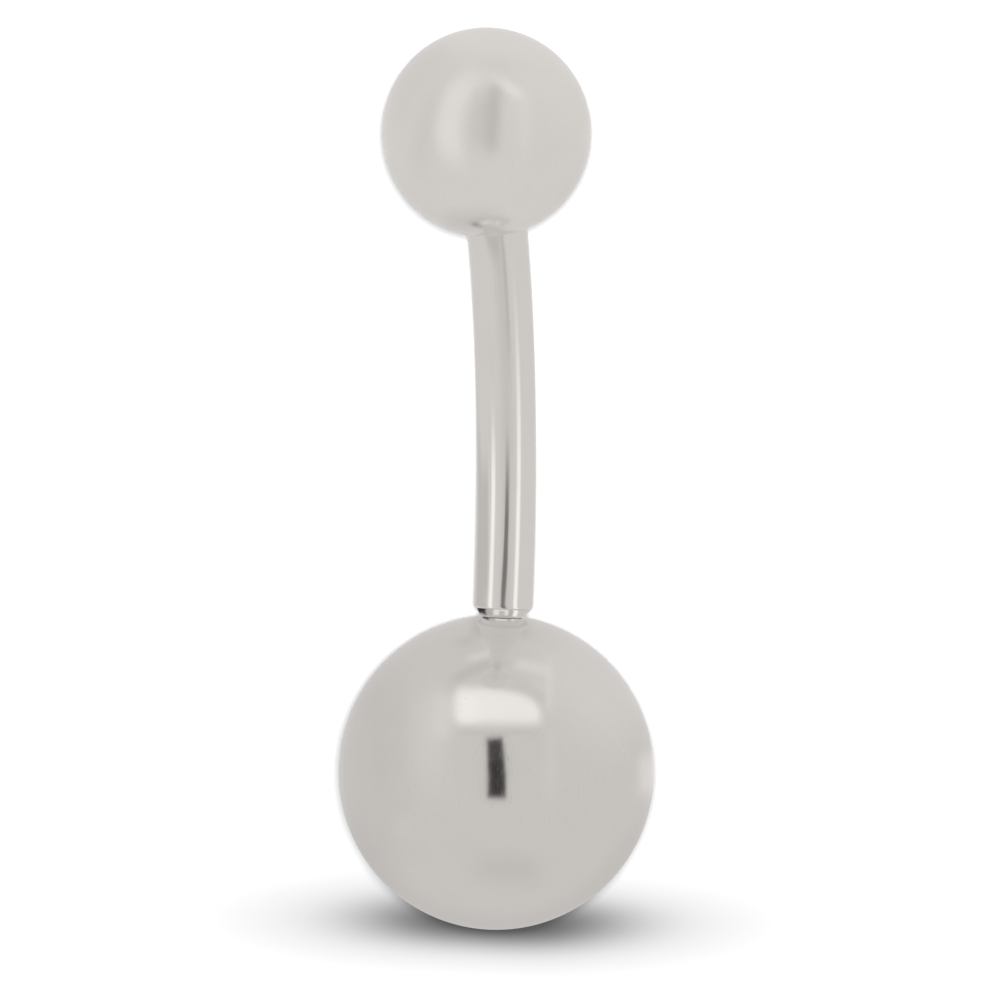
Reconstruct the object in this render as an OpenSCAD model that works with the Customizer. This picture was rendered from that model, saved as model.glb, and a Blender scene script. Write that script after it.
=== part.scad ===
// Navel ring: a curved round bar with a small ball screwed on one end and a large ball on the other.
// It lies as it rests by itself on a flat surface at z = 0, on both balls, with its bow hanging down
// between them. The large ball is at -Y and the small ball at +Y, and x = 0 halves the whole ring.
// All lengths are in millimetres.

/* [Bar] */
// Diameter of the bar
bar_d = 1.5; // [1.4:0.05:2.4]
// Length of the bar along its bend, from shoulder to shoulder
bar_length = 12; // [8:0.5:20]
// Radius of the bend, to the middle of the bar
bend_radius = 15.5; // [12:0.5:60]
// Bevel at each end of the bar
end_bevel = 0.2; // [0.05:0.01:0.24]

/* [Screw posts] */
// Diameter over the crests of the thread
post_d = 0.9; // [0.7:0.05:1.0]
// Length of the post in the large ball
large_post_length = 2.7; // [1.5:0.1:4]
// Length of the post in the small ball
small_post_length = 2.2; // [1.5:0.1:3]
// Distance from one crest of the thread to the next
thread_pitch = 0.25; // [0.2:0.05:0.4]
// Depth of the thread
thread_depth = 0.12; // [0.05:0.01:0.15]
// Plain neck between the shoulder and the first crest
neck_length = 0.2; // [0.1:0.05:0.4]
// Bevel at the tip of each post
tip_bevel = 0.15; // [0.05:0.05:0.3]

/* [Large ball] */
// Diameter of the large ball
large_ball_d = 8; // [6:0.25:12]

/* [Small ball] */
// Diameter of the small ball
small_ball_d = 5.25; // [4:0.25:8]

/* [Fits] */
// Gap all round between a post and its bore
bore_clearance = 0.03; // [0.01:0.01:0.08]
// Depth of the bore past the tip of its post
bore_spare = 0.3; // [0.1:0.1:0.6]
// Gap between a shoulder of the bar and the flat of its ball
seat_gap = 0.02; // [0.01:0.01:0.1]
// Width of the flat round the mouth of each bore
seat_width = 0.08; // [0.04:0.01:0.2]
// Countersink at the mouth of each bore
mouth_bevel = 0.04; // [0.01:0.01:0.04]

/* [Hidden] */

$fn = 96;
metal = [0.80, 0.79, 0.77];
bore_point_angle = 59; // half angle of the drilled point at the bottom of a bore
cut_margin = 0.3; // how far a cutting shape reaches past what it cuts
post_overlap = 0.5; // how far a post runs on inside the bar, so that the two are one solid

bar_r = bar_d / 2;
post_r = post_d / 2;
root_r = post_r - thread_depth;
bore_r = post_r + bore_clearance;
flat_r = bore_r + seat_width;
large_r = large_ball_d / 2;
small_r = small_ball_d / 2;

// Half of the angle that the bend turns through.
half_bend = bar_length / 2 / bend_radius * 180 / PI;

// Distance from a shoulder to the middle of its ball.
function seat_reach(ball_r) = seat_gap + sqrt(ball_r * ball_r - flat_r * flat_r);

// Middle of a ball [y, z] with the middle of the bow at the origin and the bow hanging down.
// The side is 1 for the small ball and -1 for the large one.
function ball_middle(side, ball_r) =
    let (reach = seat_reach(ball_r))
    [
        side * (bend_radius * sin(half_bend) + reach * cos(half_bend)),
        bend_radius * (1 - cos(half_bend)) + reach * sin(half_bend)
    ];

small_middle = ball_middle(1, small_r);
large_middle = ball_middle(-1, large_r);
between = small_middle - large_middle;

// Turn that brings the undersides of both balls onto one level.
rest_turn = asin((small_r - large_r) / norm(between)) - atan2(between[1], between[0]);

function turned(p) = [
    p[0] * cos(rest_turn) - p[1] * sin(rest_turn),
    p[0] * sin(rest_turn) + p[1] * cos(rest_turn)
];

small_rest = turned(small_middle);
large_rest = turned(large_middle);
rest_y = -(small_rest[0] + small_r + large_rest[0] - large_r) / 2;
rest_z = large_r - large_rest[1];

// Puts the ring down on the surface, centred along Y.
module at_rest() {
    translate([0, rest_y, rest_z])
        rotate([rest_turn, 0, 0])
            children();
}

// Puts children at one end of the bar, with its shoulder at z = 0 and +Z outwards along the bar.
module at_end(side) {
    translate([0, 0, bend_radius])
        rotate([side * half_bend, 0, 0])
            translate([0, 0, -bend_radius])
                rotate([-side * 90, 0, 0])
                    children();
}

// The bent bar from shoulder to shoulder, still with sharp ends.
module bend() {
    translate([0, 0, bend_radius])
        rotate([90, 0, 90])
            rotate([0, 0, -90 - half_bend])
                rotate_extrude(angle = 2 * half_bend)
                    translate([bend_radius, 0])
                        circle(r = bar_r);
}

// Ring that bevels an end of the bar.
module bevel_cut() {
    rotate_extrude()
        polygon([
            [bar_r - end_bevel - cut_margin, cut_margin],
            [bar_r + cut_margin, -end_bevel - cut_margin],
            [bar_r + cut_margin, cut_margin]
        ]);
}

// Screw post, turned from one outline: neck, thread and bevelled tip.
module post(post_length) {
    turns = floor((post_length - neck_length - tip_bevel) / thread_pitch);
    rotate_extrude()
        polygon(concat(
            [[0, -post_overlap], [root_r, -post_overlap], [root_r, neck_length]],
            [
                for (i = [0 : turns - 1])
                    each [
                        [post_r, neck_length + (i + 0.5) * thread_pitch],
                        [root_r, neck_length + (i + 1) * thread_pitch]
                    ]
            ],
            [[root_r, post_length - tip_bevel], [root_r - tip_bevel, post_length], [0, post_length]]
        ));
}

module curved_bar() {
    color(metal)
        at_rest()
            union() {
                difference() {
                    bend();
                    at_end(1) bevel_cut();
                    at_end(-1) bevel_cut();
                }
                at_end(1) post(small_post_length);
                at_end(-1) post(large_post_length);
            }
}

// Ball with a flat and a blind bore, with the shoulder that it screws up to at z = 0.
module ball(ball_r, post_length) {
    bore_depth = post_length + bore_spare;
    difference() {
        translate([0, 0, seat_reach(ball_r)])
            sphere(r = ball_r);
        translate([0, 0, seat_gap - cut_margin])
            cylinder(r = flat_r + cut_margin, h = cut_margin);
        cylinder(r = bore_r, h = bore_depth);
        translate([0, 0, seat_gap])
            cylinder(r1 = bore_r + mouth_bevel, r2 = bore_r, h = mouth_bevel);
        translate([0, 0, bore_depth])
            cylinder(r1 = bore_r, r2 = 0, h = bore_r / tan(bore_point_angle));
    }
}

module small_ball() {
    color(metal)
        at_rest()
            at_end(1)
                ball(small_r, small_post_length);
}

module large_ball() {
    color(metal)
        at_rest()
            at_end(-1)
                ball(large_r, large_post_length);
}

curved_bar();
small_ball();
large_ball();
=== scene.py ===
from math import asin, atan2, cos, hypot, pi, radians, sin, sqrt, tan

import bpy
import numpy as np
from mathutils import Matrix, Vector


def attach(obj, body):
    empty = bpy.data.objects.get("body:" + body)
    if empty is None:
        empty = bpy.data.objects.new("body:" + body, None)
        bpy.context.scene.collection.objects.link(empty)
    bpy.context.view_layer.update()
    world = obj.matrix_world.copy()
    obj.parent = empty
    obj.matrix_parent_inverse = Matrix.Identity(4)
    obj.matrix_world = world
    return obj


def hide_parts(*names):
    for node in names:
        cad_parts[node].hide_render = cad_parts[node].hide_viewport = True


# Navel ring at rest on a pale floor: a bent bar with threaded ends, and a ball screwed on each end.
# Every length is in metres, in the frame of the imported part.
mm = 0.001

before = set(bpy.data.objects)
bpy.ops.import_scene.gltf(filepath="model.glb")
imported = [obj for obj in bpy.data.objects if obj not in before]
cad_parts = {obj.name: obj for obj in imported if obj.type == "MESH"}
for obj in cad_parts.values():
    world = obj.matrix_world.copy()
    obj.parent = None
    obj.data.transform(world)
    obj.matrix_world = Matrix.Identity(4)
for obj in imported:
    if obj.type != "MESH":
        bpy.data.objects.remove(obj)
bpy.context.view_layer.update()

bar = {
    "radius": 0.75 * mm,
    "length": 12 * mm,  # along the bend, from shoulder to shoulder
    "bendRadius": 15.5 * mm,  # to the middle of the bar
    "bevel": 0.2 * mm,  # at each shoulder, towards the middle of the bar
    "bevelLength": 0.24 * mm,  # and along the bar
    "easing": 0.06 * mm,  # how far the bevel's outer edge is rounded back along both of its faces
    "rimEasing": 0.004 * mm,  # and its inner one, which meets the flat of the shoulder
    "easingSteps": 7,
    "lead": 3,  # plain stretch that the outline of an end starts with, in easings
    "shoulderFill": 0.012 * mm,  # how much of the gap to the ball each shoulder fills
    "stations": 180,  # along the bend
    "around": 144,
}
post = {
    "radius": 0.45 * mm,  # over the crests of the thread
    "depth": 0.12 * mm,
    "pitch": 0.25 * mm,
    "crest": 1.7,  # the thread's profile: see threadWave
    "flank": 5.8,
    "neck": 0.2 * mm,  # plain stretch next to the shoulder
    "tipBevel": 0.15 * mm,
    "steps": 14,  # stations in one turn of the thread
}
largeBall = {"radius": 4 * mm, "post": 2.7 * mm, "around": 224, "stations": 150}
smallBall = {"radius": 2.625 * mm, "post": 2.2 * mm, "around": 192, "stations": 120}
bore = {
    "clearance": 0.03 * mm,  # between the post and the bore, all round
    "spare": 0.3 * mm,  # depth past the tip of the post
    "seatGap": 0.02 * mm,  # between a shoulder and the flat of its ball
    "seatWidth": 0.08 * mm,  # flat round the mouth
    "rimAngle": 0.004,  # radians between the sphere's last station and the edge of the flat
    "mouthBevel": 0.04 * mm,
    "mouthReach": 4,  # how far in the outline of the mouth ends, in bevels
    "pointAngle": radians(59),  # half angle of the drilled point
    "groove": 0.05 * mm,  # depth of the thread in the wall of the bore
    "steps": 10,  # stations in one turn of it
    "easing": 0.012 * mm,
    "easingSteps": 6,
}
creaseAngle = radians(32)  # edges that turn more than this stay sharp


# Where things are in the plane of the bow, as [y, z], with the middle of the bar at the origin and the
# bow hanging down. A side is 1 at the small ball and -1 at the large one.
halfBend = bar["length"] / 2 / bar["bendRadius"]
boreRadius = post["radius"] + bore["clearance"]
flatRadius = boreRadius + bore["seatWidth"]


def seatReach(ballRadius):
    # Shoulder to the middle of the ball: the gap, then the sphere's depth at the rim of its flat.
    return bore["seatGap"] + sqrt(ballRadius**2 - flatRadius**2)


def ballMiddle(side, ballRadius):
    # The end of the bend, and from there straight on along its tangent by the seat's reach.
    reach = seatReach(ballRadius)
    y = bar["bendRadius"] * sin(halfBend) + reach * cos(halfBend)
    z = bar["bendRadius"] * (1 - cos(halfBend)) + reach * sin(halfBend)
    return np.array([side * y, z])


# The ring lies down on both balls: the line between their middles falls by the difference of the radii.
smallMiddle = ballMiddle(1, smallBall["radius"])
largeMiddle = ballMiddle(-1, largeBall["radius"])
between = smallMiddle - largeMiddle
fall = (smallBall["radius"] - largeBall["radius"]) / hypot(*between)
restTurn = asin(fall) - atan2(between[1], between[0])


def turned(y, z):
    return y * cos(restTurn) - z * sin(restTurn), y * sin(restTurn) + z * cos(restTurn)


smallY, smallZ = turned(*smallMiddle)
largeY, largeZ = turned(*largeMiddle)
restY = -(smallY + smallBall["radius"] + largeY - largeBall["radius"]) / 2
restZ = largeBall["radius"] - largeZ


def atRest(points):
    # Turns points of the bow's plane frame about X by the rest turn, and puts them down on z = 0.
    y, z = turned(points[..., 1], points[..., 2])
    return np.stack([points[..., 0], y + restY, z + restZ], axis=-1)


def alongBow(s):
    # Middle line by length s from the middle of the bar: a circle's arc as far as the shoulders,
    # then straight on. Returns positions, tangents and the normals that point at the bend's middle.
    onArc = np.clip(s, -bar["length"] / 2, bar["length"] / 2)
    turn = onArc / bar["bendRadius"]
    none = np.zeros_like(turn)
    tangent = np.stack([none, np.cos(turn), np.sin(turn)], axis=-1)
    normal = np.stack([none, -np.sin(turn), np.cos(turn)], axis=-1)
    arc = np.stack([none, np.sin(turn), 1 - np.cos(turn)], axis=-1) * bar["bendRadius"]
    return arc + tangent * (s - onArc)[:, None], tangent, normal


def easedOutline(corners, easings, steps):
    # A run of straight lines whose inner corners are eased: each becomes a quadratic curve that
    # leaves one line at the easing's distance before the corner and joins the next as far after it.
    corners = [np.array(c, float) for c in corners]
    points = [corners[0][None]]
    t = np.linspace(0, 1, steps)[:, None]
    for before, corner, after, easing in zip(corners, corners[1:], corners[2:], easings):
        a = corner + (before - corner) / np.linalg.norm(before - corner) * easing
        b = corner + (after - corner) / np.linalg.norm(after - corner) * easing
        points.append((1 - t) ** 2 * a + 2 * t * (1 - t) * corner + t**2 * b)
    points.append(corners[-1][None])
    return np.concatenate(points)


def threadWave(turns):
    # One crest in each whole turn: crest - flank * (turns from the nearest crest), held between 0 and 1.
    fromCrest = np.abs((turns + 0.5) % 1 - 0.5)
    return np.clip(post["crest"] - post["flank"] * fromCrest, 0, 1)


def eased(t):
    t = np.clip(t, 0, 1)
    return t * t * (3 - 2 * t)


def closedSurface(name, points, own):
    # Grid of stations by places around, each station a closed ring. The first and the last station
    # are single points, so that both ends close in a fan. own is each point in the piece's own frame.
    stations, around = points.shape[:2]
    rings = 1 + np.arange((stations - 2) * around).reshape(stations - 2, around)
    after = np.roll(rings, -1, axis=1)
    quads = np.stack([rings[:-1], rings[1:], after[1:], after[:-1]], axis=-1).reshape(-1, 4)
    last = (stations - 2) * around + 1
    start = np.stack([np.zeros(around, int), rings[0], after[0]], axis=-1)
    end = np.stack([rings[-1], np.full(around, last), after[-1]], axis=-1)

    def flat(grid):
        return np.concatenate([grid[0, :1], grid[1:-1].reshape(-1, 3), grid[-1, :1]])

    mesh = bpy.data.meshes.new(name)
    mesh.from_pydata(flat(points), [], start.tolist() + quads.tolist() + end.tolist())
    mesh.polygons.foreach_set("use_smooth", np.ones(len(mesh.polygons), bool))
    mesh.set_sharp_from_angle(angle=creaseAngle)
    attribute = mesh.attributes.new("ownFrame", "FLOAT_VECTOR", "POINT")
    attribute.data.foreach_set("vector", flat(own).astype(np.float32).ravel())
    mesh.validate()
    made = bpy.data.objects.new(name, mesh)
    bpy.context.scene.collection.objects.link(made)
    return made


def barEnd(postLength):
    # Outline of one end, outwards from the shoulder: bevelled shoulder, neck, then the stretch that
    # carries the thread. Columns: distance past the shoulder, radius, share of the thread's depth.
    root = post["radius"] - post["depth"]
    shoulder = easedOutline(
        [
            (-bar["bevelLength"] - bar["lead"] * bar["easing"], bar["radius"]),
            (-bar["bevelLength"], bar["radius"]),
            (bar["shoulderFill"], bar["radius"] - bar["bevel"]),
            (bar["shoulderFill"], root),
            (post["neck"], root),
        ],
        [bar["easing"], bar["rimEasing"], bar["rimEasing"]],
        bar["easingSteps"],
    )
    step = post["pitch"] / post["steps"]
    along = np.arange(post["neck"] + step, postLength, step)
    along = np.append(along, postLength)
    share = eased((along - post["neck"]) / post["pitch"])
    threaded = np.stack([along, np.full(len(along), root), share], axis=-1)
    plain = np.column_stack([shoulder, np.zeros(len(shoulder))])
    tip = [[postLength, 0, 0]]
    return np.concatenate([plain, threaded, tip])


def makeBar():
    # A circle carried along the bow. Its radius follows the outline of each end, and on a post the
    # thread adds its wave of (distance / pitch + turn), cut off by the 45 degree bevel of the tip.
    small = barEnd(smallBall["post"])
    large = barEnd(largeBall["post"])[::-1]
    half = bar["length"] / 2
    reach = half - bar["bevelLength"] - (bar["lead"] + 1) * bar["easing"]
    middle = np.linspace(-reach, reach, bar["stations"])
    s = np.concatenate([-half - large[:, 0], middle, half + small[:, 0]])
    radius = np.concatenate([large[:, 1], np.full(len(middle), bar["radius"]), small[:, 1]])
    share = np.concatenate([large[:, 2], np.zeros(len(middle)), small[:, 2]])
    side = np.sign(s)
    past = np.abs(s) - half
    tipAt = np.where(side > 0, smallBall["post"], largeBall["post"])
    root = post["radius"] - post["depth"]
    angle = np.linspace(0, 2 * pi, bar["around"], endpoint=False)
    wave = threadWave(past[:, None] / post["pitch"] + side[:, None] * angle / (2 * pi))
    ring = radius[:, None] + post["depth"] * share[:, None] * wave
    bevel = root - post["tipBevel"] + np.maximum(tipAt - past, 0)
    ring = np.where(share[:, None] > 0, np.minimum(ring, bevel[:, None]), ring)
    position, tangent, normal = alongBow(s)
    across = np.cos(angle)[None, :, None] * np.array([1.0, 0, 0])
    inward = np.sin(angle)[None, :, None] * normal[:, None, :]
    points = position[:, None, :] + ring[..., None] * (across + inward)
    straight = np.broadcast_to(s[:, None], ring.shape)
    own = np.stack([ring * np.cos(angle), ring * np.sin(angle), straight], axis=-1)
    return closedSurface("bar", atRest(points), own)


def makeBall(name, side, ball):
    # An outline turned about the line of its post: round the sphere from the far pole to the flat,
    # over the eased rim and the countersink, down the threaded bore and into the drilled point.
    reach = seatReach(ball["radius"])
    rim = asin(flatRadius / ball["radius"])
    polar = np.linspace(pi, rim + bore["rimAngle"], ball["stations"])
    sphere = np.stack([reach - ball["radius"] * np.cos(polar), ball["radius"] * np.sin(polar)], axis=-1)
    sphere[0, 1] = 0
    gap, bevel = bore["seatGap"], bore["mouthBevel"]
    depth = ball["post"] + bore["spare"]
    mouthEnd = gap + bore["mouthReach"] * bevel
    mouth = easedOutline(
        [
            sphere[-1],
            (gap, flatRadius),
            (gap, boreRadius + bevel),
            (gap + bevel, boreRadius),
            (mouthEnd, boreRadius),
        ],
        [bore["easing"]] * 3,
        bore["easingSteps"],
    )[1:]
    step = post["pitch"] / bore["steps"]
    wall = np.arange(mouthEnd + step, depth, step)
    along = np.concatenate([sphere[:, 0], mouth[:, 0], wall])
    radius = np.concatenate([sphere[:, 1], mouth[:, 1], np.full(len(wall), boreRadius)])
    uncut = np.zeros(len(sphere) + len(mouth))
    cut = np.concatenate([uncut, eased((wall - wall[0]) / post["pitch"])])
    cut *= eased((depth - along) / post["pitch"])
    point = [[depth, boreRadius, 0], [depth + boreRadius / tan(bore["pointAngle"]), 0, 0]]
    outline = np.concatenate([np.stack([along, radius, cut], axis=-1), point])
    angle = np.linspace(0, 2 * pi, ball["around"], endpoint=False)
    wave = 1 - threadWave(outline[:, :1] / post["pitch"] - angle / (2 * pi))
    ring = outline[:, 1:2] + bore["groove"] * outline[:, 2:] * wave
    position, tangent, normal = alongBow(np.array([side * bar["length"] / 2]))
    axis = side * tangent[0]
    across = np.array([1.0, 0, 0])
    around = np.cos(angle)[:, None] * across + np.sin(angle)[:, None] * np.cross(axis, across)
    points = position[0] + outline[:, :1, None] * axis + ring[..., None] * around
    straight = np.broadcast_to(outline[:, :1] - reach, ring.shape)
    own = np.stack([ring * np.cos(angle), ring * np.sin(angle), straight], axis=-1)
    return closedSurface(name, atRest(points), own)


class Wire:
    # A socket to calculate with. Every operator adds one Math node to the tree that the socket is in.
    def __init__(self, tree, socket=None):
        self.tree = tree
        self.socket = socket

    def node(self, kind, settings, inputs, output=0):
        made = self.tree.nodes.new(kind)
        for name, value in settings.items():
            setattr(made, name, value)
        for key, value in inputs.items():
            if isinstance(value, Wire):
                self.tree.links.new(value.socket, made.inputs[key])
            else:
                made.inputs[key].default_value = value
        return Wire(self.tree, made.outputs[output] if made.outputs else None)

    def math(self, operation, *values):
        return self.node("ShaderNodeMath", {"operation": operation}, dict(enumerate(values)))

    def vector(self, operation, *values, output=0):
        settings = {"operation": operation}
        return self.node("ShaderNodeVectorMath", settings, dict(enumerate(values)), output)

    def dot(self, direction):
        return self.vector("DOT_PRODUCT", self, tuple(direction), output=1)

    def __add__(self, other):
        return self.math("ADD", self, other)

    def __sub__(self, other):
        return self.math("SUBTRACT", self, other)

    def __rsub__(self, other):
        return self.math("SUBTRACT", other, self)

    def __mul__(self, other):
        return self.math("MULTIPLY", self, other)

    def __truediv__(self, other):
        return self.math("DIVIDE", self, other)

    __radd__ = __add__
    __rmul__ = __mul__

    def ramp(self, low, high):
        # 0 below low and 1 above high, with an eased slope between them.
        settings = {"interpolation_type": "SMOOTHSTEP"}
        inputs = {"Value": self, "From Min": low, "From Max": high}
        return self.node("ShaderNodeMapRange", settings, inputs)

    def blend(self, first, second):
        # The first colour where this socket is 0 and the second where it is 1.
        settings = {"data_type": "RGBA"}
        return self.node("ShaderNodeMix", settings, {0: self, 6: first, 7: second}, output=2)


def newMaterial(name):
    material = bpy.data.materials.new(name)
    material.use_nodes = True
    material.node_tree.nodes.clear()
    return material, Wire(material.node_tree)


# Steel of the ring. The haze is the faint mottling of a buffed surface, the hairlines are the marks
# of handling, and the ripple is what is left of the shaping under the polish. Sizes are real ones.
steel = {
    "colour": (0.80, 0.785, 0.765),
    "hazeSize": 1.1 * mm,
    "hazeDetail": 3.0,
    "hazeShare": 0.025,  # how much the haze darkens or lightens the colour
    "hazeRoughness": 0.035,
    "hairlineWidth": 0.012 * mm,
    "hairlineScale": 0.35,  # waves of the noise in one width
    "hairlineFrom": 0.66,  # a hairline starts to show where the noise is above this
    "hairlineTo": 0.78,  # and shows in full from here
    "hairlineShare": 0.05,  # how much a hairline darkens the colour
    "hairlineRoughness": 0.10,
    "hairlineDepth": 0.00004 * mm,
    "rippleSize": 0.6 * mm,
    "rippleDetail": 1.5,
    "rippleDepth": 0.003 * mm,
}
# Three sets of hairlines cross each other: share, turn, and what is added to the seed of the finish.
hairlineSets = {
    "lengthwise": (1.0, (0.0, 0.0, 0.0), 0),
    "slanting": (0.6, (0.9, 0.5, 0.0), 40),
    "crossing": (0.6, (1.7, -0.6, 0.4), 80),
}
# drawn: how many times longer than wide a hairline is. ripple: share of the steel's ripple.
barFinish = {"roughness": 0.075, "drawn": 40, "seed": 3.0, "ripple": 0.15}
smallBallFinish = {"roughness": 0.20, "drawn": 14, "seed": 11.0, "ripple": 1.0}
largeBallFinish = {"roughness": 0.12, "drawn": 16, "seed": 23.0, "ripple": 1.0}


def hairlines(start, place, turn, drawn, seed):
    # Thin lines: noise that is drawn out along one direction, of which only the highest part shows.
    wide = 1 / steel["hairlineWidth"]
    mapped = start.node(
        "ShaderNodeMapping",
        {"vector_type": "POINT"},
        {
            "Vector": place,
            "Rotation": turn,
            "Location": (seed, seed, seed),
            "Scale": (wide, wide, wide / drawn),
        },
    )
    inputs = {"Vector": mapped, "Scale": steel["hairlineScale"], "Detail": 1.0}
    noise = start.node("ShaderNodeTexNoise", {}, inputs)
    return noise.ramp(steel["hairlineFrom"], steel["hairlineTo"])


def polishedSteel(name, finish):
    material, start = newMaterial(name)
    place = start.node("ShaderNodeAttribute", {"attribute_name": "ownFrame"}, {}, output=1)
    moved = place.vector("ADD", place, (finish["seed"], 0.0, 0.0))

    def noise(size, detail):
        inputs = {"Vector": moved, "Scale": 1 / size, "Detail": detail}
        return start.node("ShaderNodeTexNoise", {}, inputs)

    haze = noise(steel["hazeSize"], steel["hazeDetail"])
    ripple = noise(steel["rippleSize"], steel["rippleDetail"])
    marks = 0
    for share, turn, further in hairlineSets.values():
        marks = marks + share * hairlines(start, place, turn, finish["drawn"], finish["seed"] + further)
    marks = marks.math("MINIMUM", marks, 1.0)
    mottle = haze - 0.5
    shade = 1 + 2 * steel["hazeShare"] * mottle - steel["hairlineShare"] * marks
    scaled = {0: steel["colour"], "Scale": shade}
    colour = start.node("ShaderNodeVectorMath", {"operation": "SCALE"}, scaled)
    roughness = finish["roughness"] + steel["hazeRoughness"] * mottle + steel["hairlineRoughness"] * marks
    height = finish["ripple"] * steel["rippleDepth"] * ripple - steel["hairlineDepth"] * marks
    bump = start.node("ShaderNodeBump", {}, {"Height": height, "Distance": 1.0, "Strength": 1.0})
    surface = start.node(
        "ShaderNodeBsdfPrincipled",
        {},
        {"Base Color": colour, "Metallic": 1.0, "Roughness": roughness, "Normal": bump},
    )
    start.node("ShaderNodeOutputMaterial", {}, {"Surface": surface})
    return material


pieces = {
    "bar": makeBar(),
    "small ball": makeBall("smallBall", 1, smallBall),
    "large ball": makeBall("largeBall", -1, largeBall),
}
dress = {
    "bar": ("bar", "curved_bar", "polished_bar", barFinish),
    "small ball": ("small_ball", "small_ball", "polished_small_ball", smallBallFinish),
    "large ball": ("large_ball", "large_ball", "polished_large_ball", largeBallFinish),
}
for name, (body, node, slot, finish) in dress.items():
    piece = pieces[name]
    piece.data.materials.append(polishedSteel(slot, finish))
    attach(piece, body)
    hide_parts(node)
    print(name + ":", len(piece.data.polygons), "faces, finish", slot)

# Camera of the photograph: it looks down on the lying ring from the side of the small ball, rolled so
# that the small ball is at the top. The scale and the aim are those that put both balls in place.
view = {
    "azimuth": radians(16.93),  # from +Y towards +X
    "elevation": radians(59.62),
    "roll": radians(197.75),
    "pixelsPerMetre": 39560.0,
    "imageSize": 1000,
    "originPixel": (512.3, 414.1),  # where the origin of the frame shows
    "depth": 3.2 * mm,  # middle of the ring, towards the camera
    "lens": 1200.0,
    "sensor": 36.0,
    "clipNear": 0.1,  # of the distance
    "clipFar": 10,
}


def towardsSky(azimuth, elevation):
    return Vector((sin(azimuth) * cos(elevation), cos(azimuth) * cos(elevation), sin(elevation)))


towards = towardsSky(view["azimuth"], view["elevation"])
uphill = (Vector((0, 0, 1)) - towards * towards.z).normalized()
sideways = uphill.cross(towards)
right = sideways * cos(view["roll"]) + uphill * sin(view["roll"])
up = uphill * cos(view["roll"]) - sideways * sin(view["roll"])


def addCamera():
    data = bpy.data.cameras.new("camera")
    data.lens = view["lens"]
    data.sensor_width = view["sensor"]
    distance = view["lens"] / view["sensor"] * view["imageSize"] / view["pixelsPerMetre"]
    half = view["imageSize"] / 2
    aim = right * ((half - view["originPixel"][0]) / view["pixelsPerMetre"])
    aim = aim - up * ((half - view["originPixel"][1]) / view["pixelsPerMetre"])
    camera = bpy.data.objects.new("camera", data)
    turn = Matrix((right, up, towards)).transposed().to_4x4()
    camera.matrix_world = Matrix.Translation(aim + towards * (view["depth"] + distance)) @ turn
    data.clip_start = distance * view["clipNear"]
    data.clip_end = distance * view["clipFar"]
    bpy.context.scene.collection.objects.link(camera)
    bpy.context.scene.camera = camera


addCamera()
print("camera: set")

# Floor and light. The lamp stands close to the camera's line of sight, so that the ring hides its own
# shadows. The photo shows one shadow alone, a soft pool under the large ball, and the floor carries it.
# The floor's colour carries a painted shadow: a soft dark pool under the large ball, mixed into its
# albedo.
floor = {
    "halfSize": 1.5,
    "albedo": 0.86,
    "paintedShadowAt": (495.0, 924.2),  # its middle, in pixels of the photograph, like its sizes
    "paintedShadowWide": 104.0,
    "paintedShadowHigh": 20.73,
    "paintedShadowDepth": 2.72,  # density of its middle
    "paintedShadowShape": 1.66,  # power of the distance by which the density falls off
    "paintedShadowLimit": 2.0,  # highest density
    "paintedShadowDrop": 4.3,  # how much lower its right part lies, and between which places it falls
    "dropFrom": -48.0,
    "dropTo": 72.0,
    "glare": 0.086,  # natural logarithm of how much too bright the floor is, taken off inside the painted shadow
    "glareRise": 60.0,
}
# spread: how wide the lamp looks, as an angle. seen: how bright the camera sees the sky.
lamp = {"azimuth": radians(17), "elevation": radians(59.5), "spread": radians(5), "strength": 3.72}
sky = {"fill": 0.25, "seen": 1.0}


def addFloor():
    # Painted shadow: a soft pool darkens the floor's colour. Its density is depth * exp(-r ^ shape) with
    # r = hypot(across / wide, down / high), and there the floor keeps exp(-density) of its colour.
    half = floor["halfSize"]
    mesh = bpy.data.meshes.new("floor")
    corners = [(-half, -half, 0), (half, -half, 0), (half, half, 0), (-half, half, 0)]
    mesh.from_pydata(corners, [], [(0, 1, 2, 3)])
    made = bpy.data.objects.new("floor", mesh)
    bpy.context.scene.collection.objects.link(made)
    material, start = newMaterial("paleFloorWithPaintedShadow")
    place = start.node("ShaderNodeTexCoord", {}, {}, output="Object")
    across = place.dot(right) * view["pixelsPerMetre"]
    down = place.dot(-up) * view["pixelsPerMetre"]
    across = across + (view["originPixel"][0] - floor["paintedShadowAt"][0])
    down = down + (view["originPixel"][1] - floor["paintedShadowAt"][1])
    down = down - floor["paintedShadowDrop"] * across.ramp(floor["dropFrom"], floor["dropTo"])
    across = across / floor["paintedShadowWide"]
    down = down / floor["paintedShadowHigh"]
    spread = across * across + down * down
    spread = spread.math("POWER", spread, floor["paintedShadowShape"] / 2)
    density = floor["paintedShadowDepth"] * spread.math("EXPONENT", -1 * spread)
    density = density.math("MINIMUM", density, floor["paintedShadowLimit"])
    density = density + floor["glare"] * (1 - density.math("EXPONENT", -floor["glareRise"] * density))
    # Painted shadow: the floor's colour is mixed towards black by the pool's density.
    shade = 1 - density.math("EXPONENT", -1 * density)
    matt = start.node("ShaderNodeBsdfDiffuse", {}, {"Color": (floor["albedo"],) * 3 + (1,)})
    dark = start.node("ShaderNodeBsdfDiffuse", {}, {"Color": (0, 0, 0, 1)})
    mixed = start.node("ShaderNodeMixShader", {}, {0: shade, 1: matt, 2: dark})
    start.node("ShaderNodeOutputMaterial", {}, {"Surface": mixed})
    mesh.materials.append(material)
    made.visible_glossy = False


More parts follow.
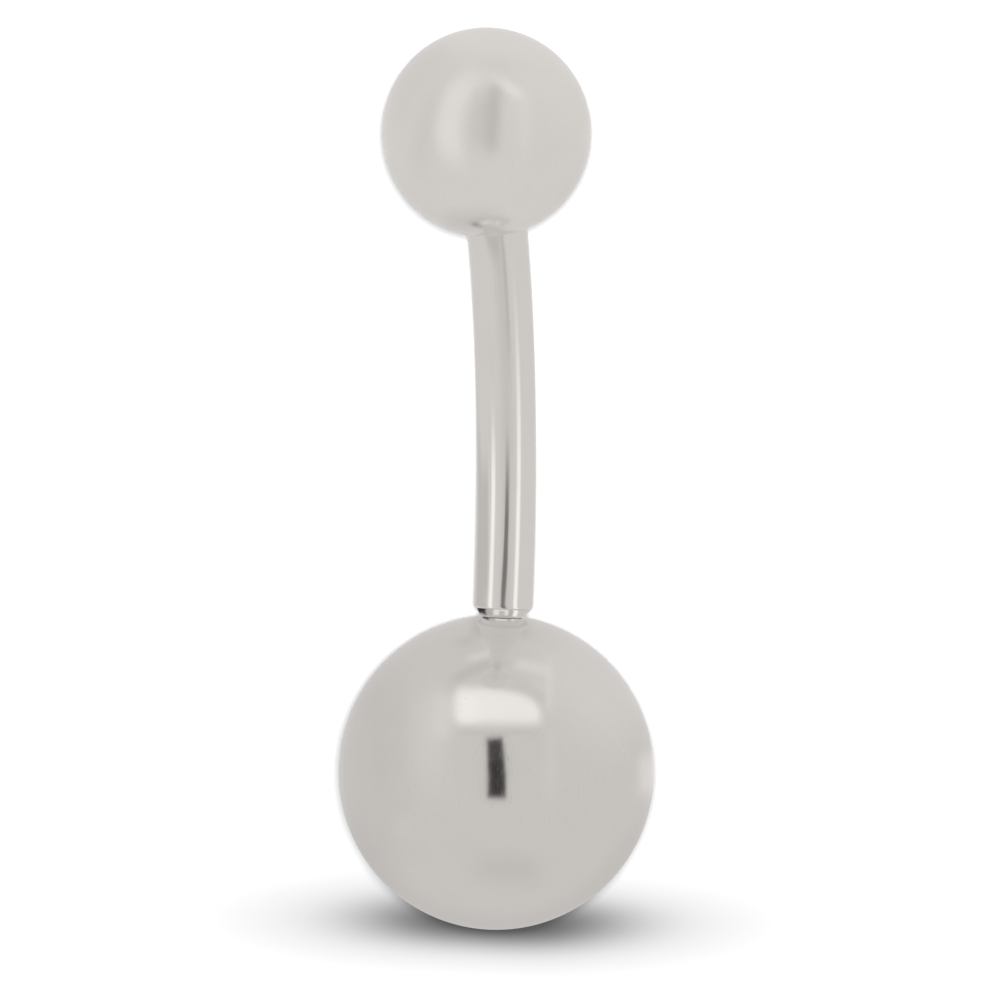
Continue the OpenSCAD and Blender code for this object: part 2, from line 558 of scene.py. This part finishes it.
def addLamp():
    data = bpy.data.lights.new("lamp", "SUN")
    data.angle = lamp["spread"]
    data.energy = lamp["strength"]
    made = bpy.data.objects.new("lamp", data)
    out = towardsSky(lamp["azimuth"], lamp["elevation"])
    made.matrix_world = out.to_track_quat("Z", "Y").to_matrix().to_4x4()
    made.visible_glossy = False
    bpy.context.scene.collection.objects.link(made)


def addSky():
    # The camera sees the sky at one level, and it lights the floor and the ring at another.
    world = bpy.data.worlds.new("sky")
    bpy.context.scene.world = world
    world.use_nodes = True
    world.node_tree.nodes.clear()
    start = Wire(world.node_tree)
    seen = start.node("ShaderNodeLightPath", {}, {}, output="Is Camera Ray")
    strength = sky["fill"] + (sky["seen"] - sky["fill"]) * seen
    light = start.node("ShaderNodeBackground", {}, {"Strength": strength})
    start.node("ShaderNodeOutputWorld", {}, {"Surface": light})
    world.cycles_visibility.glossy = False


addFloor()
addLamp()
addSky()
print("floor, lamp and sky: set")

# Each piece mirrors a light tent of its own: a shell far round it that shows in its reflections alone.
# A patch on the shell is laid out where it shows on the mirror, in radii from the middle of a ball
# or of the bar: right, up, half width, half length, softness across, softness along, lean in degrees,
# bend of its middle line, brightness. A lean of 90 lays a patch down on its side. Towards the outline
# of a piece the tent falls off by its rim's shares, above and below.
# The photograph hardly shows the pieces in each other. So rays that another mirror has sent to a piece
# see the echo there, with patches of its own, instead of the level and the patches.
tents = {
    "large ball": {
        "level": 0.94,
        "rim": (0.03, 0.15),
        "echo": 0.93,
        "echoPatches": {
            "on the small ball": (0, -0.2, 1.2, 0.42, 0.1, 0.1, 0, 0, 1.1),
            "bevel right": (0.8, 0.6, 0.38, 0.3, 0.1, 0.1, 0, 0, 1.17),
            "bevel middle": (-0.045, 0.6, 0.235, 0.3, 0.06, 0.1, 0, 0, 1.6),
            "bevel strip": (0.44, 0.6, 0.06, 0.3, 0.04, 0.1, 0, 0, 1.95),
            "notch": (-0.77, 0.43, 0.2, 0.14, 0.06, 0.05, 0, 0, 0.06),
        },
        "patches": {
            "left shade": (-0.75, 0.0, 0.12, 0.6, 0.25, 0.3, 0, 0, 0.89),
            "left glow": (-0.42, 0.22, 0.07, 0.22, 0.14, 0.25, 0, 0, 1.0),
            "panel glow": (-0.35, 0.36, 0.03, 0.12, 0.08, 0.08, 0, 0, 1.07),
            "right glow": (0.6, 0.55, 0.3, 0.2, 0.3, 0.3, -40, 0, 1.03),
            "right streak": (0.34, 0.06, 0.02, 0.25, 0.06, 0.2, 0, 0, 0.98),
            "right edge": (0.97, -0.03, 0.05, 0.1, 0.06, 0.1, 0, 0, 1.12),
            "lower shade": (0.07, -0.60, 0.06, 0.16, 0.12, 0.16, 90, -0.3, 0.87),
            "low glow": (-0.58, -0.35, 0.03, 0.04, 0.08, 0.08, 0, 0, 0.96),
            "joint shade": (0.02, 0.94, 0.05, 0.16, 0.06, 0.06, 90, -0.4, 0.80),
            # The next patch darkens the tent: it shows as shade in the ball's reflection just under the
            # joint.
            "joint reflected shade": (-0.19, 0.83, 0.015, 0.04, 0.04, 0.05, 90, 0, 0.87),
            "far edge": (-0.09, 0.745, 0.012, 0.07, 0.03, 0.06, 106, 0, 1.09),
            "far edge right": (0.23, 0.67, 0.022, 0.10, 0.04, 0.06, 78, -0.6, 1.10),
            "far dark": (-0.11, 0.665, 0.02, 0.16, 0.035, 0.08, 110, -0.7, 0.84),
            "panel": (0.016, 0.424, 0.252, 0.099, 0.05, 0.058, 0, 0, 1.355),
            "panel heart": (-0.19, 0.41, 0.04, 0.07, 0.10, 0.06, 0, 0, 1.43),
            "panel corner": (0.202, 0.528, 0.035, 0.16, 0.045, 0.05, 64, -1.5, 0.93),
            "panel streak": (0.335, 0.55, 0.012, 0.13, 0.035, 0.08, 0, 0, 1.10),
            "panel foot": (0.01, 0.253, 0.010, 0.22, 0.014, 0.06, 90, 0, 0.88),
            "slit top": (-0.0035, 0.125, 0.050, 0.09, 0.012, 0.03, 5, 0, 0.07),
            "slit foot": (0.0045, -0.045, 0.055, 0.11, 0.012, 0.03, 0, -0.3, 0.05),
        },
    },
    "small ball": {
        "level": 1.04,
        "rim": (0.0, 0.08),
        "echo": 1.17,
        "echoPatches": {},
        "patches": {
            "upper half": (0.0, 0.5, 0.9, 0.2, 0.3, 0.5, 0, 0, 1.08),
            "upper glow": (0.0, 0.88, 0.08, 0.6, 0.15, 0.3, 90, -0.5, 1.11),
            "upper left": (-0.75, 0.55, 0.25, 0.35, 0.3, 0.3, -35, 0, 1.02),
            "left shade": (-0.60, -0.02, 0.03, 0.35, 0.14, 0.3, -10, 0.2, 0.97),
            "far shade": (0.05, 0.63, 0.02, 0.14, 0.06, 0.12, 90, -0.7, 1.03),
            "left arc": (-0.3465, 0.15, 0.087, 0.35, 0.093, 0.25, -12, 0.7, 1.21),
            "right band": (0.37, 0.12, 0.02, 0.25, 0.09, 0.25, 0, 0, 1.115),
            "right arc": (0.20, 0.43, 0.028, 0.14, 0.05, 0.08, 58, -0.65, 1.29),
            "shade": (-0.04, 0.11, 0.085, 0.20, 0.10, 0.18, -4, 0, 0.93),
            "slit": (0.065, 0.13, 0.035, 0.28, 0.085, 0.16, -4, 0, 0.79),
            # The next patch darkens the tent: it shows as shade in the ball's reflection low on the ball.
            "low reflected shade": (-0.14, -0.84, 0.06, 0.22, 0.10, 0.15, 90, 0, 0.93),
        },
    },
    "bar": {
        "level": 1.0,
        "rim": (0.04, 0.04),
        "echo": 0.98,
        "echoPatches": {
            "far end": (0, 0.8, 1.2, 0.5, 0.1, 0.1, 0, 0, 1.12),
            "grazing": (0, 0.95, 1.2, 0.3, 0.1, 0.1, 0, 0, 1.04),
        },
        "patches": {
            "left shade": (-0.762, -0.106, 0.17, 0.085, 0.05, 0.045, -20, 0, 0.82),
            "middle shade": (0.04, -0.45, 0.10, 0.5, 0.25, 0.2, 0, 0, 0.89),
            "upper line": (0.19, -0.62, 0.04, 0.09, 0.06, 0.08, 14, 0, 0.80),
            "upper glow": (0.62, -0.72, 0.25, 0.04, 0.2, 0.05, 0, 0, 1.09),
            "upper shade": (-0.15, -0.71, 0.2, 0.01, 0.15, 0.05, 0, 0, 0.80),
            "left strip": (-0.44, -0.14, 0.05, 0.17, 0.05, 0.12, 4, 0, 1.48),
            "right strip": (0.405, -0.14, 0.05, 0.22, 0.05, 0.25, 8, 0, 1.48),
            "slit": (0.0325, -0.24, 0.05, 0.06, 0.05, 0.12, 8, 0, 0.30),
            "slit foot": (-0.005, -0.145, 0.05, 0.075, 0.05, 0.04, 34, 0, 0.30),
        },
    },
}
tent = {
    "radius": 4,
    "spacing": 0.2,  # between one tent and the next, so that no two lie in the same place
    "around": 48,
    "stations": 25,
    "strength": 0.7325,
    "warmth": (1.0235, 1.0, 0.982, 1),
    "echoFrom": 1.5,  # rays that are deeper than this see the echo
    "echoGain": 1.2,  # for each depth past the second
    "echoWarmth": (1.0043, 1.0, 1.0077, 1),
    "rimHeights": (-0.6, 0.0),  # the lower share turns into the upper one between these heights
    "rimFacing": (0.1, 0.6),  # full below the first share of facing the camera, gone above the second
}


def paint(light, x, y, patches):
    # The light at x and y, with each patch laid over what is there. In the patch's own frame along
    # and across are turned by its lean, and its middle line is bent aside by bend * along ^ 2.
    for patchX, patchY, wide, long, softX, softY, lean, bend, bright in patches.values():
        c, s = cos(radians(lean)), sin(radians(lean))
        along = y * c - x * s - (patchY * c - patchX * s)
        across = x * c + y * s - (patchX * c + patchY * s) - bend * along * along
        inX = 1 - across.math("ABSOLUTE", across).ramp(wide - softX / 2, wide + softX)
        inY = 1 - along.math("ABSOLUTE", along).ramp(long - softY / 2, long + softY)
        light = light + (bright - light) * (inX * inY)
    return light


def addTent(name, radius):
    # A sphere whose material adds light where a ray arrives and lets it pass on. The direction from
    # the shell's middle, halfway turned towards the camera, is the mirror's normal that shows it.
    piece = pieces[name]
    middle = sum((Vector(c) for c in piece.bound_box), Vector()) / 8
    turn = np.linspace(0, 2 * pi, tent["around"], endpoint=False)
    rise = np.linspace(-pi / 2, pi / 2, tent["stations"])[:, None]
    ring = np.cos(rise)
    grid = np.stack([ring * np.cos(turn), ring * np.sin(turn), np.sin(rise) + 0 * turn], axis=-1)
    made = closedSurface(name.replace(" ", "") + "Tent", grid * radius + np.array(middle), grid)
    material, start = newMaterial(name + " tent")
    place = start.node("ShaderNodeTexCoord", {}, {}, output="Object")
    out = place.vector("NORMALIZE", place.vector("SUBTRACT", place, tuple(middle)))
    normal = place.vector("NORMALIZE", place.vector("ADD", out, tuple(towards)))
    x, y, facing = normal.dot(right), normal.dot(up), normal.dot(towards)
    looks = tents[name]
    depth = start.node("ShaderNodeLightPath", {}, {}, output="Ray Depth")
    deeper = depth.math("GREATER_THAN", depth, tent["echoFrom"])
    light = paint(looks["level"], x, y, looks["patches"])
    light = light + (paint(looks["echo"], x, y, looks["echoPatches"]) - light) * deeper
    light = light * depth.math("POWER", tent["echoGain"], depth.math("MAXIMUM", depth - 2, 0.0))
    above, below = looks["rim"]
    rim = above + (below - above) * (1 - y.ramp(*tent["rimHeights"]))
    light = light * (1 - rim * (1 - facing.ramp(*tent["rimFacing"]))) * tent["strength"]
    warmth = deeper.blend(tent["warmth"], tent["echoWarmth"])
    glow = start.node("ShaderNodeEmission", {}, {"Color": warmth, "Strength": light})
    clear = start.node("ShaderNodeBsdfTransparent", {}, {})
    both = start.node("ShaderNodeAddShader", {}, {0: glow, 1: clear})
    start.node("ShaderNodeOutputMaterial", {}, {"Surface": both})
    material.cycles.emission_sampling = "NONE"
    made.data.materials.append(material)
    for ray in ("camera", "diffuse", "transmission", "volume_scatter", "shadow"):
        setattr(made, "visible_" + ray, False)
    seenBy = bpy.data.collections.new(name + " sees")
    seenBy.objects.link(piece)
    made.light_linking.receiver_collection = seenBy


for number, name in enumerate(tents):
    addTent(name, tent["radius"] + tent["spacing"] * number)
    print("tent:", name)

scene = bpy.context.scene
scene.view_settings.view_transform = "Standard"
scene.cycles.use_denoising = True
scene.cycles.max_bounces = 12
scene.cycles.glossy_bounces = 8
